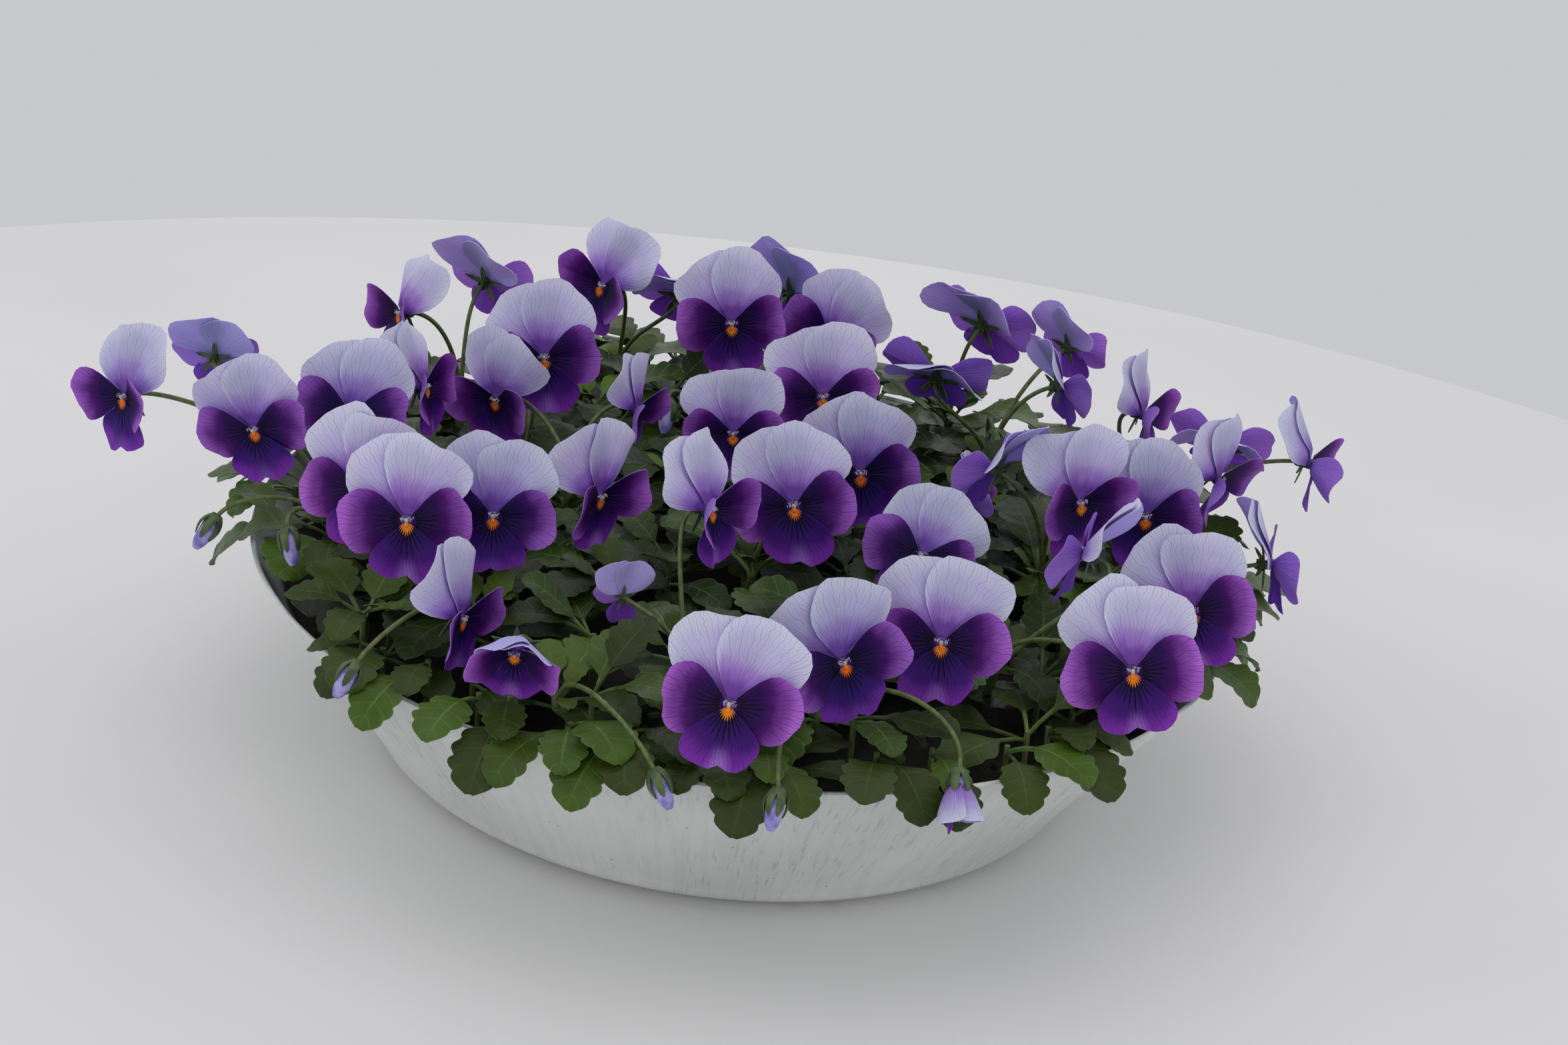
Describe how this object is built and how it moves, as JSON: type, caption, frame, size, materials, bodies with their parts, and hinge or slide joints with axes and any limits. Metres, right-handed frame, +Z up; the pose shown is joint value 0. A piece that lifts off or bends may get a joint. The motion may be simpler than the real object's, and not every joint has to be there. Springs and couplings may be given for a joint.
{
  "type": "potted viola planter",
  "caption": "Low round galvanised bowl filled with potting soil and planted with violas: leafy rosettes, nodding buds and two-tone lavender and violet blooms.",
  "frame": {"origin": "middle of the bowl's flat underside, on the surface that it stands on", "axes": "+Z up; -Y is the front, which most of the blooms face; +X is to the right seen from the front"},
  "size_m": [0.4543, 0.3806, 0.1595],
  "materials": {
    "galvanised_steel": "weathered zinc coating with faint streaks and specks",
    "potting_soil": "damp crumbly compost",
    "viola_leaf": "soft matt leaf",
    "petals": "velvety petal, lavender above and violet below"
  },
  "bodies": {
    "root": {"bowl": "galvanised_steel", "soil": "potting_soil", "plant_1": "viola_leaf", "plant_2": "viola_leaf", "plant_3": "viola_leaf", "plant_4": "viola_leaf", "plant_5": "viola_leaf", "plant_6": "viola_leaf", "plant_7": "viola_leaf", "plant_8": "viola_leaf", "bloom_01": "petals", "bloom_02": "petals", "bloom_03": "petals", "bloom_04": "petals", "bloom_05": "petals", "bloom_06": "petals", "bloom_07": "petals", "bloom_08": "petals", "bloom_09": "petals", "bloom_10": "petals", "bloom_11": "petals", "bloom_12": "petals", "bloom_13": "petals", "bloom_14": "petals", "bloom_15": "petals", "bloom_16": "petals", "bloom_17": "petals", "bloom_18": "petals", "bloom_19": "petals", "bloom_20": "petals", "bloom_21": "petals", "bloom_22": "petals", "bloom_23": "petals", "bloom_24": "petals", "bloom_25": "petals", "bloom_26": "petals", "bloom_27": "petals", "bloom_28": "petals", "bloom_29": "petals", "bloom_30": "petals", "bloom_31": "petals", "bloom_32": "petals", "bloom_33": "petals", "bloom_34": "petals", "bloom_35": "petals", "bloom_36": "petals", "bloom_37": "petals", "bloom_38": "petals", "bloom_39": "petals", "bloom_40": "petals", "bloom_41": "petals", "bloom_42": "petals", "bloom_43": "petals", "bloom_44": "petals", "bloom_45": "petals", "bloom_46": "petals", "bloom_47": "petals", "bloom_48": "petals"}
  },
  "joints": []
}
